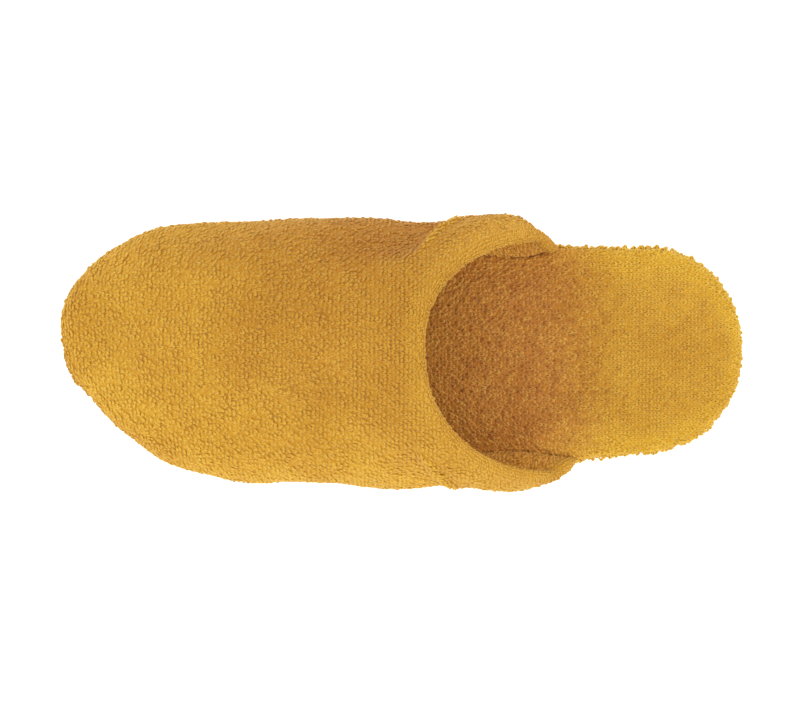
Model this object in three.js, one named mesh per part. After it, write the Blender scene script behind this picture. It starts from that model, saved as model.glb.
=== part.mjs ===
// A left mule slipper in looped terry: closed toe, open back, soft collar.
// Millimetres. +X points to the toe, +Y to the outer side of the foot, +Z up. The origin is on the floor,
// under the middle of the slipper.

import * as THREE from 'three';
import { mergeVertices } from 'three/addons/utils/BufferGeometryUtils.js';

// Driving dimensions. In the tables below, x is the distance from the heel's end.
const LENGTH = 260;
const GAP = 0.3; // between pieces that are sewn or glued together
const SAME_CORNER = 0.003; // corners nearer than this are one corner
const RIM = 1.2; // the sole's edge, beyond the foot of the upper
const SEAM_ALLOWANCE = 0.5; // from the inside of the upper to the insole

// Heights of the layers, over the floor at the heel
const OUTSOLE_HEIGHT = 3;
const SOLE_TOP = 9.6;
const INSOLE_TOP = 14.4;
const SPRING_START = 205; // from here the toe lifts off the floor
const TOE_SPRING = 4;

// The heel is half an ellipse
const HEEL_DEPTH = 35;
const HEEL_HALF_WIDTH = 39.2;
const HEEL_MIDDLE = -0.8; // its middle line lies a little to the inner side
const HEEL_TURNS = [81, 54, 27, 0, -27, -54, -81];

// The arch of the upper
const WIDE_SHARE = 0.24; // its widest point, as a share of its height
const LEAN_POWER = 1.25; // an arch leans forward more near its top than near its foot
const SPINE_FALL = -0.3; // slope of the upper's top line at the toe
const FULLNESS = 0.88; // 1 is an elliptic arch, and less is a fuller one
const HEM_ROUND = 1.1; // depth of the collar's fold, in half walls

// How finely the surfaces are cut
const STEPS_PER_ROW = 4;
const STEPS_BELOW_WIDEST = 3;
const STEPS_ABOVE_WIDEST = 11;
const HEM_STEPS = 6;

// Arches of the upper from the collar to the toe. topX, topY and topZ are where an arch meets the top line,
// and wall is its thickness. On each side, x and y are its foot, face is the way that it looks, in degrees
// from straight ahead, and belly is how far its widest point stands out past its foot.
const ARCHES = [
  {
    topX: 124, topY: -4.2, topZ: 61.8, wall: 3.4,
    inner: { x: 73, y: -39.2, face: -90, belly: 6.9 },
    outer: { x: 65, y: 41.2, face: 90, belly: 6.8 },
  },
  {
    topX: 131, topY: -4.4, topZ: 62, wall: 5,
    inner: { x: 83.5, y: -39.8, face: -90, belly: 12.5 },
    outer: { x: 80, y: 42.2, face: 90, belly: 10.2 },
  },
  {
    topX: 147, topY: -4.8, topZ: 58.6, wall: 4.4,
    inner: { x: 109, y: -41.2, face: -90, belly: 8.4 },
    outer: { x: 107, y: 43.2, face: 90, belly: 7.9 },
  },
  {
    topX: 167, topY: -5.3, topZ: 55, wall: 4.2,
    inner: { x: 136, y: -42.6, face: -90, belly: 8.5 },
    outer: { x: 135, y: 43.9, face: 90, belly: 8 },
  },
  {
    topX: 186, topY: -5.9, topZ: 51, wall: 4.2,
    inner: { x: 166, y: -44, face: -90, belly: 6.7 },
    outer: { x: 166, y: 44.4, face: 89, belly: 5.7 },
  },
  {
    topX: 202.5, topY: -6.4, topZ: 47, wall: 4.2,
    inner: { x: 194, y: -43.8, face: -86, belly: 5.1 },
    outer: { x: 195, y: 43.5, face: 80, belly: 5.1 },
  },
  {
    topX: 215, topY: -6.8, topZ: 43.4, wall: 4.2,
    inner: { x: 218.5, y: -42.4, face: -73, belly: 5 },
    outer: { x: 219, y: 36.4, face: 61, belly: 5 },
  },
  {
    topX: 223.5, topY: -7.1, topZ: 40.6, wall: 4.2,
    inner: { x: 239.6, y: -34, face: -54, belly: 4.9 },
    outer: { x: 238.4, y: 22.6, face: 46, belly: 4.9 },
  },
  {
    topX: 228.5, topY: -7.4, topZ: 38.8, wall: 4.2,
    inner: { x: 252, y: -21.6, face: -29, belly: 4.8 },
    outer: { x: 251, y: 7.6, face: 25, belly: 4.8 },
  },
];
const TOE = { topX: 230.5, topY: -7.6, topZ: 38, wall: 4.2, x: 255.2, y: -8, face: 0, belly: 4.8 };

// Where the sides of the sole run on from the collar to the heel
const HEEL_SIDES = {
  outer: [
    { x: 56, y: 40, face: 92 },
    { x: 44, y: 38.4, face: 94 },
  ],
  inner: [
    { x: 46, y: -38.4, face: 269 },
    { x: 62, y: -38.6, face: 270 },
  ],
};

// The outsole stands on one flat face with straight sides. These rows of the outline, counted from the collar's
// inner end round the toe, are its corners.
const UNDERSIDE_CORNERS = [5, 7, 9, 11, 13, 20, 22, 26, 28];

// Layers of the sole, from the lowest ring to the highest. out is measured from the foot of the upper.
const OUTSOLE_RINGS = [
  { out: -7.5, z: 0, corners: UNDERSIDE_CORNERS },
  { out: -4, z: 0.5 },
  { out: -2.8, z: 1.4 },
  { out: -2.8, z: OUTSOLE_HEIGHT },
];
const SOLE_RINGS = [
  { out: -2.6, z: OUTSOLE_HEIGHT + GAP },
  { out: -0.6, z: 3.9 },
  { out: 0.7, z: 5.2 },
  { out: RIM, z: 6.8 },
  { out: 0.9, z: 8.4 },
  { out: -0.4, z: SOLE_TOP },
];
const INSOLE_RINGS = [
  { out: -2.2, z: SOLE_TOP + GAP },
  { out: -0.6, z: 10.6 },
  { out: 0, z: 11.8 },
  { out: -0.5, z: 13 },
  { out: -2.2, z: 14 },
  { out: -5.4, z: INSOLE_TOP },
];

const TERRY = 0xca913a;
const TERRY_INSIDE = 0xad7336;
const TERRY_EDGE = 0xd8a63c;
const WALKING_SOLE = 0x8f7148;

const { sin, cos, floor, min, max, PI } = Math;
const QUARTER = PI / 2;
const radians = THREE.MathUtils.degToRad;

// A smooth curve through evenly numbered values, which runs straight on past both ends
function smooth(values, at) {
  const last = values.length - 1;
  const start = min(floor(at), last - 1);
  const part = at - start;
  const value = (i) => {
    if (i < 0) return 2 * values[0] - values[1];
    if (i > last) return 2 * values[last] - values[last - 1];
    return values[i];
  };
  const a = value(start - 1);
  const b = value(start);
  const c = value(start + 1);
  const d = value(start + 2);
  const bend = 2 * a - 5 * b + 4 * c - d + part * (3 * (b - c) + d - a);
  return b + 0.5 * part * (c - a + part * bend);
}

// How far the toe spring lifts a point at distance x from the heel
function lift(x) {
  const part = max(0, x - SPRING_START) / (LENGTH - SPRING_START);
  return TOE_SPRING * part * part;
}

// The arches in order round the foot: inner side, toe, outer side
function roundTheFoot() {
  const side = (arch, name) => ({ ...arch, ...arch[name] });
  const inner = ARCHES.map((arch) => side(arch, 'inner'));
  const outer = ARCHES.map((arch) => side(arch, 'outer')).reverse();
  return [...inner, TOE, ...outer];
}

const ROUND = roundTheFoot();
const LAST_ARCH = ROUND.length - 1;
const column = (rows, name) => rows.map((row) => row[name]);
const ARCH_COLUMNS = Object.fromEntries(Object.keys(TOE).map((name) => [name, column(ROUND, name)]));

// A point of the upper. at numbers the arches round the foot, widths runs from 0 at an arch's foot over 1 at
// its widest point to 2 at its top, and inside picks the lining's face of the wall.
function upperPoint(at, widths, inside) {
  const arch = (name) => smooth(ARCH_COLUMNS[name], at);
  const wall = inside ? arch('wall') : 0;
  const face = radians(arch('face'));
  const ahead = new THREE.Vector2(cos(face), sin(face));
  const beside = new THREE.Vector2(-sin(face), cos(face));
  const foot = new THREE.Vector2(arch('x'), arch('y')).addScaledVector(ahead, -wall);
  const base = SOLE_TOP + GAP + lift(foot.x);
  const toTop = new THREE.Vector2(arch('topX'), arch('topY')).sub(foot);
  const inward = toTop.dot(ahead);
  const belly = arch('belly');

  const below = min(widths, 1);
  const turn = max(widths - 1, 0) * QUARTER;
  const aside = max(cos(turn), 0) ** FULLNESS;
  const above = sin(turn) ** FULLNESS;
  const height = WIDE_SHARE * below + (1 - WIDE_SHARE) * above;
  const out = widths < 1 ? belly * sin(below * QUARTER) : inward + (belly - inward) * aside;
  const along = toTop.dot(beside) * height ** LEAN_POWER;
  const fall = SPINE_FALL * (belly - inward) * ahead.x * aside * above ** 2;

  const plan = foot.addScaledVector(ahead, out).addScaledVector(beside, along);
  const z = base + (arch('topZ') - wall - base) * height + fall;
  return new THREE.Vector3(plan.x, plan.y, z);
}

// A closed mesh from triangles of points. Shared corners are merged, and x counts from the slipper's middle.
function closedMesh(name, triangles, colour, roughness) {
  const geometry = new THREE.BufferGeometry().setFromPoints(triangles.flat());
  geometry.translate(-LENGTH / 2, 0, 0);
  const merged = mergeVertices(geometry, SAME_CORNER);
  merged.computeVertexNormals();
  const material = new THREE.MeshStandardMaterial({ color: colour, roughness, metalness: 0 });
  const mesh = new THREE.Mesh(merged, material);
  mesh.name = name;
  return mesh;
}

// Two triangles for each square of a grid of points, without those that have no width
function gridTriangles(rows, flipped) {
  const found = [];
  const add = (a, b, c) => {
    const sides = [a.distanceTo(b), b.distanceTo(c), c.distanceTo(a)];
    if (min(...sides) > SAME_CORNER) found.push(flipped ? [a, c, b] : [a, b, c]);
  };
  for (let i = 0; i + 1 < rows.length; i += 1) {
    for (let j = 0; j + 1 < rows[i].length; j += 1) {
      add(rows[i][j], rows[i + 1][j], rows[i + 1][j + 1]);
      add(rows[i][j], rows[i + 1][j + 1], rows[i][j + 1]);
    }
  }
  return found;
}

// Values from 0 to 2 up an arch, through 1 at its widest point
function arcSteps() {
  const below = Array.from({ length: STEPS_BELOW_WIDEST }, (_, i) => i / STEPS_BELOW_WIDEST);
  const above = Array.from({ length: STEPS_ABOVE_WIDEST + 1 }, (_, i) => 1 + i / STEPS_ABOVE_WIDEST);
  return [...below, ...above];
}

// The round fold along the collar, from the outer face over the edge to the lining's face
function hemRows(at, towards) {
  const rows = Array.from({ length: HEM_STEPS + 1 }, () => []);
  for (const widths of arcSteps()) {
    const outside = upperPoint(at, widths, false);
    const inside = upperPoint(at, widths, true);
    const middle = outside.clone().add(inside).multiplyScalar(0.5);
    const half = outside.clone().sub(middle);
    const back = outside.clone().sub(upperPoint(at + towards, widths, false)).normalize();
    const depth = half.length() * HEM_ROUND;
    rows.forEach((row, i) => {
      const turn = (PI * i) / HEM_STEPS;
      const point = middle.clone().addScaledVector(half, cos(turn));
      row.push(point.addScaledVector(back, depth * sin(turn)));
    });
  }
  return rows;
}

// The upper: outer face, lining's face, the fold of the collar and the foot that stands on the sole
function upper() {
  const stations = Array.from({ length: LAST_ARCH * STEPS_PER_ROW + 1 }, (_, i) => i / STEPS_PER_ROW);
  const sheet = (inside) =>
    stations.map((at) => arcSteps().map((widths) => upperPoint(at, widths, inside)));
  const outside = sheet(false);
  const inside = sheet(true);
  const nextArch = 1 / STEPS_PER_ROW;
  const innerHem = hemRows(0, nextArch);
  const outerHem = hemRows(LAST_ARCH, -nextArch);
  const footRows = outside.map((arc, i) => [arc[0], inside[i][0]]);
  const hemFoot = (hem, flipped) => {
    const feet = hem.map((row) => row[0]);
    const fan = feet.slice(1, -1).map((point, i) => [feet[0], point, feet[i + 2]]);
    return flipped ? fan.map(([a, b, c]) => [a, c, b]) : fan;
  };
  const triangles = [
    ...gridTriangles(outside, false),
    ...gridTriangles(inside, true),
    ...gridTriangles(footRows, true),
    ...gridTriangles(innerHem, true),
    ...gridTriangles(outerHem, false),
    ...hemFoot(innerHem, false),
    ...hemFoot(outerHem, true),
  ];
  return closedMesh('upper', triangles, TERRY, 1);
}

// The foot of the upper carried on round the heel, in order: inner side, toe, outer side, heel
function roundTheSole() {
  const heel = HEEL_TURNS.map((degrees) => {
    const turn = radians(degrees);
    const face = Math.atan2(sin(turn) / HEEL_HALF_WIDTH, -cos(turn) / HEEL_DEPTH);
    return {
      x: RIM + (HEEL_DEPTH - RIM) * (1 - cos(turn)),
      y: HEEL_MIDDLE + (HEEL_HALF_WIDTH - RIM) * sin(turn),
      face: THREE.MathUtils.radToDeg(face < 0 ? face + 2 * PI : face),
    };
  });
  return [...ROUND, ...HEEL_SIDES.outer, ...heel, ...HEEL_SIDES.inner];
}

const SOLE_ROUND = roundTheSole();
const SOLE_ROWS = SOLE_ROUND.length;

// A row of the closed sole outline, numbered on past its end with whole turns of its face
function soleRow(index) {
  const row = SOLE_ROUND[(index + SOLE_ROWS) % SOLE_ROWS];
  return { ...row, face: row.face + 360 * floor(index / SOLE_ROWS) };
}

const WRAPPED = Array.from({ length: SOLE_ROWS + 3 }, (_, i) => soleRow(i - 1));

// The corner that lies nearest to a place on the outline, or the place itself where a ring has no corners
function cornerNear(corners, at) {
  if (!corners) return at;
  const away = (corner) => min((at - corner + SOLE_ROWS) % SOLE_ROWS, (corner - at + SOLE_ROWS) % SOLE_ROWS);
  return corners.reduce((best, corner) => (away(corner) < away(best) ? corner : best));
}

// A ring of points round the sole. out moves it away from the foot line, and inset(at) draws it in.
function soleRing(ring, inset) {
  const points = [];
  for (let i = 0; i < SOLE_ROWS * STEPS_PER_ROW; i += 1) {
    const at = cornerNear(ring.corners, i / STEPS_PER_ROW);
    const value = (name) => smooth(column(WRAPPED, name), at + 1);
    const face = radians(value('face'));
    const out = ring.out - inset(at);
    const x = value('x') + out * cos(face);
    const y = value('y') + out * sin(face);
    points.push(new THREE.Vector3(x, y, ring.z + lift(x)));
  }
  return points;
}

// Rungs across a ring, from the toe to the heel
function across(ring, flipped) {
  const toe = (LAST_ARCH / 2) * STEPS_PER_ROW;
  const at = (i) => ring[(i + ring.length) % ring.length];
  const rungs = Array.from({ length: ring.length / 2 + 1 }, (_, i) => [at(toe - i), at(toe + i)]);
  return gridTriangles(rungs, flipped);
}

// One layer of the sole, closed above and below
function layer(name, rings, inset, colour, roughness) {
  const loops = rings.map((ring) => soleRing(ring, inset));
  const closed = loops.map((loop) => [...loop, loop[0]]);
  const triangles = [
    ...gridTriangles(closed, true),
    ...across(loops[0], false),
    ...across(loops[loops.length - 1], true),
  ];
  return closedMesh(name, triangles, colour, roughness);
}

// The insole lies inside the wall of the upper, and reaches the sole's edge at the heel
function insideTheWall(at) {
  const walls = WRAPPED.map((row) => (row.wall ? row.wall + SEAM_ALLOWANCE : -RIM / 2));
  return smooth(walls, at + 1);
}

const onTheEdge = () => 0;

const slipper = new THREE.Group();
slipper.add(
  upper(),
  layer('insole', INSOLE_RINGS, insideTheWall, TERRY_INSIDE, 1),
  layer('sole', SOLE_RINGS, onTheEdge, TERRY_EDGE, 1),
  layer('outsole', OUTSOLE_RINGS, onTheEdge, WALKING_SOLE, 0.8),
);

export default slipper;
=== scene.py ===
"""Looks of a left mule slipper in looped terry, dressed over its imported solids.

The cloth follows the solids' arches, rings and outline, let out or taken in by a millimetre or two where it
is soft. Each terry surface is a ground cloth with rows of yarn loops standing on it, seated on a lattice in
the cloth as it was cut, before it was sewn to shape.
"""

import logging
import math
from dataclasses import dataclass
from enum import Enum
from typing import Any, Sequence

import bpy
import numpy as np
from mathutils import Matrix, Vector


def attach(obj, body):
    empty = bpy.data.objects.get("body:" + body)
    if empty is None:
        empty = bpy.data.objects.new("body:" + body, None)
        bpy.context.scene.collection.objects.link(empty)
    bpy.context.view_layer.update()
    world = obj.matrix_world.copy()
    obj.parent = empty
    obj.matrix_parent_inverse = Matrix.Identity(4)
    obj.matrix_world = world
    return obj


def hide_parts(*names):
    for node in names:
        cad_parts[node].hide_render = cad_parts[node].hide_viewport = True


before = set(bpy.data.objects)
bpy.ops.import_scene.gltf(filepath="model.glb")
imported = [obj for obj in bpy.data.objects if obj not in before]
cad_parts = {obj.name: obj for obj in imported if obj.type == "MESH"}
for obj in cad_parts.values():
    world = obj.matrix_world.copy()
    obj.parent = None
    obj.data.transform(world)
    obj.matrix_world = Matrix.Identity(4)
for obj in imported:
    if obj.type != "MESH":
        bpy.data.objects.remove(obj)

Array = np.ndarray
Marks = dict[str, Array]
Pair = tuple[float, float]
Colour = tuple[float, float, float]
Paint = tuple[float, float, float, float]
MM = 0.001
FULL_TURN = 360
BAKE_MAP = "OFBake"
MAP_SPAN = 0.98
MAP_MARGIN = 0.01
TONE = "tone"
LATTICE_START = 0.137
WAVE_SPREAD = (0.7, 1.5)
NOISE_RANGE = (0.36, 0.64)
TINY = 1e-12
# Numbers of the Mix node's colour sockets, which share their names with its other kinds
MIX_FACTOR, MIX_FIRST, MIX_SECOND, MIX_RESULT = 0, 6, 7, 2
LOG = logging.getLogger("slipper")


class Face(Enum):
    """The two faces of the upper's wall."""

    OUTSIDE = "outside"
    LINING = "lining"


def smooth(values: Array, at: Array) -> Array:
    """Reads a Catmull-Rom curve through evenly numbered values, which runs straight on past both ends.

    Args:
        values: One number for each row of a table.
        at: Row numbers, whole or between rows.

    Returns:
        The curve's values there, in the shape of at.
    """
    before, after = 2 * values[:1] - values[1:2], 2 * values[-1:] - values[-2:-1]
    rows = np.concatenate([before, values, after])
    start = np.clip(np.floor(at), 0, len(values) - 2).astype(int)
    part = at - start
    a, b, c, d = (rows[start + step] for step in range(4))
    bend = 2 * a - 5 * b + 4 * c - d + part * (3 * (b - c) + d - a)
    return b + 0.5 * part * (c - a + part * bend)


def ramp(value: Array, low: float, high: float) -> Array:
    """Rises smoothly from 0 at low to 1 at high."""
    part = np.clip((value - low) / (high - low), 0, 1)
    return part * part * (3 - 2 * part)


def blend(first: float, second: float, share: Array) -> Array:
    """Goes from first at a share of 0 to second at 1."""
    return first + (second - first) * share


def unit(vectors: Array) -> Array:
    """Scales vectors to a length of 1."""
    return vectors / np.maximum(np.linalg.norm(vectors, axis=-1, keepdims=True), TINY)


def headings(degrees: Array) -> tuple[Array, Array]:
    """The flat ways ahead and to the left of headings, which count round from the toe."""
    turn = np.radians(degrees)
    ahead = np.stack([np.cos(turn), np.sin(turn)], axis=-1)
    return ahead, np.stack([-ahead[..., 1], ahead[..., 0]], axis=-1)


def walked(places: Array) -> Array:
    """How long the way along the first axis of places is, up to each of them."""
    steps = np.linalg.norm(np.diff(places, axis=0), axis=-1)
    return np.concatenate([np.zeros_like(steps[:1]), np.cumsum(steps, axis=0)])


def ripple(places: Array, wavelength: float, seed: int, waves: int = 7) -> Array:
    """Gives a soft uneven field of mean 0 over flat places.

    Args:
        places: Flat places, in any shape.
        wavelength: The usual distance between crests.
        seed: Picks the field.
        waves: How many plane waves are summed.

    Returns:
        One number for each place, mostly between -1 and 1.
    """
    chance = np.random.default_rng(seed)
    turn = chance.uniform(0, 2 * math.pi, waves)
    length = wavelength * chance.uniform(*WAVE_SPREAD, waves)
    phase = chance.uniform(0, 2 * math.pi, waves)
    ways = np.stack([np.cos(turn), np.sin(turn)]) * 2 * math.pi / length
    return np.sin(places @ ways + phase).sum(axis=-1) / math.sqrt(waves)


@dataclass(frozen=True)
class SlipperForm:
    """The slipper's arches, outline and layers, in millimetres and degrees.

    In the tables x counts from the heel's end, and a face is the heading that an arch's foot looks to.
    """

    length: float = 260
    gap: float = 0.3
    rim: float = 1.2
    seam_allowance: float = -1.0
    lining_hug: float = 2.2
    tail_thinned: float = 0.65
    tail_arches: float = 1.4
    tail_bulge: float = 2.0
    sole_top: float = 9.6
    spring_start: float = 205
    toe_spring: float = 4
    heel_depth: float = 35
    heel_half_width: float = 39.2
    heel_middle: float = -0.8
    wide_share: float = 0.24
    lean_power: float = 1.25
    spine_fall: float = -0.3
    fullness: float = 0.88
    columns: tuple[str, ...] = ("top_x", "top_y", "top_z", "wall", "x", "y", "face", "belly")
    # Arches from the collar to the toe: top line and wall, then foot, face and belly on each side
    spine: tuple[tuple[float, ...], ...] = (
        (124, -4.2, 61.8, 3.4),
        (131, -4.4, 62, 5),
        (147, -4.8, 58.6, 4.4),
        (167, -5.3, 55, 4.2),
        (186, -5.9, 51, 4.2),
        (202.5, -6.4, 47, 4.2),
        (215, -6.8, 43.4, 4.2),
        (223.5, -7.1, 40.6, 4.2),
        (228.5, -7.4, 38.8, 4.2),
    )
    inner_side: tuple[tuple[float, ...], ...] = (
        (73, -39.2, -90, 6.9),
        (83.5, -39.8, -90, 12.5),
        (109, -41.2, -90, 8.4),
        (136, -42.6, -90, 8.5),
        (166, -44, -90, 6.7),
        (194, -43.8, -86, 5.1),
        (218.5, -42.4, -73, 5),
        (239.6, -34, -54, 3.9),
        (252, -21.6, -29, 4.4),
    )
    outer_side: tuple[tuple[float, ...], ...] = (
        (65, 41.2, 90, 6.8),
        (80, 42.2, 90, 10.2),
        (107, 43.2, 90, 7.9),
        (135, 43.9, 90, 8),
        (166, 44.4, 89, 5.7),
        (195, 43.5, 80, 6.5),
        (219, 36.4, 61, 5.6),
        (238.4, 22.6, 46, 4.9),
        (251, 7.6, 25, 5.5),
    )
    toe: tuple[float, ...] = (230.5, -7.6, 38, 4.2, 255.2, -8, 0, 4.8)
    heel_outer: tuple[tuple[float, ...], ...] = ((56, 40, 92), (44, 38.4, 94))
    heel_inner: tuple[tuple[float, ...], ...] = ((46, -38.4, 269), (62, -38.6, 270))
    heel_turns: tuple[float, ...] = (81, 54, 27, 0, -27, -54, -81)
    # Rings of the sole's layers, from the lowest to the highest: out past the foot line, and height
    sole_rings: tuple[Pair, ...] = (
        (-2.6, 3.3), (-0.6, 3.9), (0.7, 5.2), (1.2, 6.8), (0.9, 8.4), (-0.4, 9.6),
    )
    insole_rings: tuple[Pair, ...] = (
        (-2.2, 9.9), (-0.5, 10.5), (0.2, 11.5), (-0.1, 12.5), (-1.5, 13.3), (-4.6, 13.8),
    )

    @property
    def arches(self) -> Array:
        """The arches in order round the foot: inner side, toe, outer side."""
        inner = [(*top, *foot) for top, foot in zip(self.spine, self.inner_side)]
        outer = [(*top, *foot) for top, foot in zip(self.spine, self.outer_side)]
        return np.array([*inner, self.toe, *reversed(outer)], float)

    @property
    def last_arch(self) -> int:
        """The number of the outer side's arch at the collar."""
        return 2 * len(self.spine)

    def column(self, name: str) -> Array:
        """One column of the arches' table."""
        return self.arches[:, self.columns.index(name)]

    def lift(self, x: Array) -> Array:
        """How far the toe spring lifts a place at distance x from the heel."""
        part = np.maximum(0, x - self.spring_start) / (self.length - self.spring_start)
        return self.toe_spring * part * part

    def upper_points(self, at: Array, widths: Array, face: Face) -> Array:
        """Places on one face of the upper's wall.

        Args:
            at: Numbers of arches round the foot.
            widths: 0 at an arch's foot, 1 at its widest point and 2 at its top.
            face: Which face of the wall.

        Returns:
            Places in millimetres in the row's frame, in the shape of at and widths together.
        """
        at, widths = np.broadcast_arrays(at, widths)
        arch = {name: smooth(self.column(name), at) for name in self.columns}
        lining = face is Face.LINING
        near_tail = 1 - ramp(np.minimum(at, self.last_arch - at), 0, self.tail_arches)
        thinned = 1 - self.tail_thinned * near_tail * (1 - ramp(widths, 0, 1))
        wall = arch["wall"] * thinned if lining else np.zeros_like(at)
        belly = arch["belly"] if lining else arch["belly"] + self.tail_bulge * near_tail
        ahead, beside = headings(arch["face"])
        foot = np.stack([arch["x"], arch["y"]], axis=-1) - ahead * wall[..., None]
        base = self.sole_top + self.gap + self.lift(foot[..., 0])
        to_top = np.stack([arch["top_x"], arch["top_y"]], axis=-1) - foot
        inward = (to_top * ahead).sum(axis=-1)
        reach = belly - inward

        below = np.minimum(widths, 1)
        over = np.maximum(widths - 1, 0) * math.pi / 2
        across = np.maximum(np.cos(over), 0) ** self.fullness
        above = np.sin(over) ** self.fullness
        height = self.wide_share * below + (1 - self.wide_share) * above
        swell = below**self.lining_hug if lining else np.sin(below * math.pi / 2)
        out = np.where(widths < 1, belly * swell, inward + reach * across)
        along = (to_top * beside).sum(axis=-1) * height**self.lean_power
        fall = self.spine_fall * reach * ahead[..., 0] * across * above**2

        plan = foot + ahead * out[..., None] + beside * along[..., None]
        z = base + (arch["top_z"] - wall - base) * height + fall
        return np.stack([plan[..., 0] - self.length / 2, plan[..., 1], z], axis=-1)

    @property
    def outline(self) -> Array:
        """The foot of the upper carried on round the heel: x, y, face and inset."""
        turns = np.radians(self.heel_turns)
        ahead, aside = -np.cos(turns) / self.heel_depth, np.sin(turns) / self.heel_half_width
        facing = np.degrees(np.arctan2(aside, ahead))
        x = self.rim + (self.heel_depth - self.rim) * (1 - np.cos(turns))
        y = self.heel_middle + (self.heel_half_width - self.rim) * np.sin(turns)
        heel = np.stack([x, y, facing % FULL_TURN], axis=-1)
        foot = np.column_stack([self.column(name) for name in ("x", "y", "face")])
        rows = np.concatenate([foot, self.heel_outer, heel, self.heel_inner])
        inset = np.full(len(rows), -self.rim / 2)
        wall = self.column("wall")
        wall[[0, -1]] *= 1 - self.tail_thinned
        inset[: len(foot)] = wall + self.seam_allowance
        return np.column_stack([rows, inset])

    def ring(self, steps: int, out: float, z: float, inside_wall: bool) -> tuple[Array, Array]:
        """One ring of places round a layer of the sole.

        Args:
            steps: Places for each row of the outline.
            out: How far the ring lies past the foot line.
            z: Its height at the heel.
            inside_wall: True for the insole, which keeps clear of the upper's wall.

        Returns:
            The places in millimetres, and the flat way out at each.
        """
        rows = self.outline
        turn = np.array([0, 0, FULL_TURN, 0])
        wrapped = np.concatenate([rows[-1:] - turn, rows, rows[:1] + turn, rows[1:2] + turn])
        at = np.arange(len(rows) * steps) / steps + 1
        x, y, face, inset = (smooth(wrapped[:, i], at) for i in range(4))
        way, _ = headings(face)
        past = out - inset if inside_wall else np.full(len(at), out)
        plan = np.stack([x, y], axis=-1) + way * np.reshape(past, (-1, 1))
        height = z + self.lift(plan[:, 0])
        return np.column_stack([plan[:, 0] - self.length / 2, plan[:, 1], height]), way


def squares_of(numbers: Array) -> Array:
    """Squares between neighbouring rows and columns of corner numbers."""
    corners = [numbers[:-1, :-1], numbers[:-1, 1:], numbers[1:, 1:], numbers[1:, :-1]]
    return np.stack(corners, axis=-1).reshape(-1, 4)


@dataclass
class Cloth:
    """A cloth: places in millimetres, squares of corners, where each place was in the flat cut, and marks."""

    places: Array
    squares: Array
    flat: Array
    marks: Marks

    @classmethod
    def woven(cls, places: Array, flat: Array, marks: Marks, numbers: Array | None = None) -> "Cloth":
        """Makes a cloth from rows of places, with corner numbers if some places are one and the same."""
        if numbers is None:
            numbers = np.arange(places[..., 0].size).reshape(places.shape[:2])
        listed = {name: values.ravel() for name, values in marks.items()}
        return cls(places.reshape(-1, 3), squares_of(numbers), flat.reshape(-1, 2), listed)

    def turned(self) -> "Cloth":
        """The same cloth, facing the other way."""
        return Cloth(self.places, self.squares[:, ::-1], self.flat, self.marks)

    @property
    def triangles(self) -> Array:
        """Two triangles for each square."""
        a, b, c, d = self.squares.T
        return np.concatenate([np.column_stack([a, b, c]), np.column_stack([a, c, d])])

    def normals(self) -> Array:
        """The way out at each place."""
        corners = self.places[self.triangles]
        facing = np.cross(corners[:, 1] - corners[:, 0], corners[:, 2] - corners[:, 0])
        total = np.zeros_like(self.places)
        for i in range(3):
            np.add.at(total, self.triangles[:, i], facing)
        return unit(total)

    def moved(self, distance: Array | float) -> "Cloth":
        """The same cloth, moved out along its normals."""
        step = np.reshape(distance, (-1, 1)) if np.ndim(distance) else distance
        return Cloth(self.places + self.normals() * step, self.squares, self.flat, self.marks)

    def relaxed(self, rounds: int = 300, haste: float = 1.6) -> "Cloth":
        """Eases the flat cut until the distances between its places are near those on the sewn form.

        Args:
            rounds: How often every place moves towards agreement with its neighbours.
            haste: How far it moves each time, as a share of what they ask on average.

        Returns:
            The same cloth with the eased cut.
        """
        corners = self.squares.T
        threads = ((0, 1), (1, 2), (2, 3), (3, 0), (0, 2), (1, 3))
        ends = np.concatenate([np.column_stack([corners[i], corners[j]]) for i, j in threads])
        ends = np.unique(np.sort(ends, axis=1), axis=0)
        ends = ends[ends[:, 0] != ends[:, 1]]
        rest = np.linalg.norm(self.places[ends[:, 0]] - self.places[ends[:, 1]], axis=1)
        count = np.bincount(ends.ravel(), minlength=len(self.places))[:, None]
        flat = self.flat.copy()
        for _ in range(rounds):
            way = flat[ends[:, 1]] - flat[ends[:, 0]]
            long = np.maximum(np.linalg.norm(way, axis=1), TINY)
            pull = way * ((1 - rest / long) / 2)[:, None]
            shift = np.zeros_like(flat)
            for axis in range(2):
                shift[:, axis] += np.bincount(ends[:, 0], pull[:, axis], len(flat))
                shift[:, axis] -= np.bincount(ends[:, 1], pull[:, axis], len(flat))
            flat += haste * shift / np.maximum(count, 1)
        return Cloth(self.places, self.squares, flat, self.marks)


@dataclass
class Seats:
    """Where loops stand on a cloth: places, frames, flat places and marks, one row for each loop."""

    places: Array
    warp: Array
    normal: Array
    flat: Array
    marks: Marks

    def chosen(self, keep: Array) -> "Seats":
        """The seats that keep marks."""
        marks = {name: values[keep] for name, values in self.marks.items()}
        return Seats(self.places[keep], self.warp[keep], self.normal[keep], self.flat[keep], marks)


def crossed(first: Array, second: Array) -> Array:
    """The area that each pair of flat vectors spans."""
    return first[:, 0] * second[:, 1] - first[:, 1] * second[:, 0]


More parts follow.
